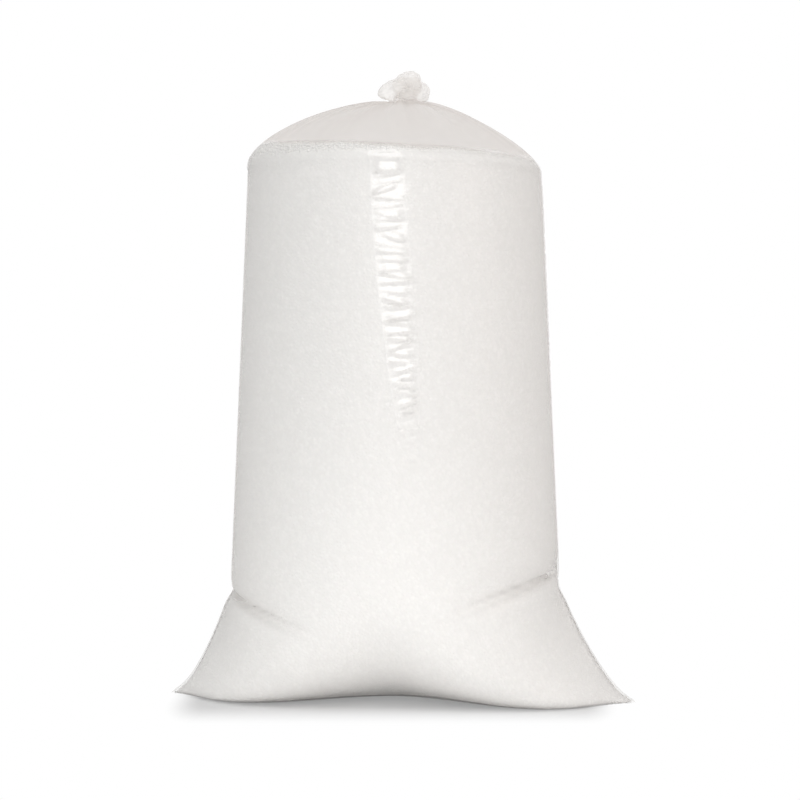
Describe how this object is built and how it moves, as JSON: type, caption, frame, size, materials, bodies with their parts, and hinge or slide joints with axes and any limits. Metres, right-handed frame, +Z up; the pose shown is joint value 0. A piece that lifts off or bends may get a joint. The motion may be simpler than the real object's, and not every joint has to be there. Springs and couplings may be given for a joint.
{
  "type": "bag of polystyrene beads",
  "caption": "Tall clear polythene bag stuffed with white expanded polystyrene beads, with a straight welded bottom, pointed corners and a top gathered into a knot.",
  "frame": {"origin": "on the floor, midway between the two bottom corners and below the body's middle", "axes": "+Z up the bag, +X along the bottom weld towards the right-hand corner seen from the front, -Y out of the front"},
  "size_m": [0.7632, 0.4994, 1.0291],
  "materials": {
    "clear_ldpe_film": "clear blown film, slightly hazy, glossy, finely crinkled",
    "white_eps_beads": "matt white beads about 5 mm across, packed tight"
  },
  "bodies": {
    "root": {"film_bag": "clear_ldpe_film", "bead_fill": "white_eps_beads"}
  },
  "joints": []
}
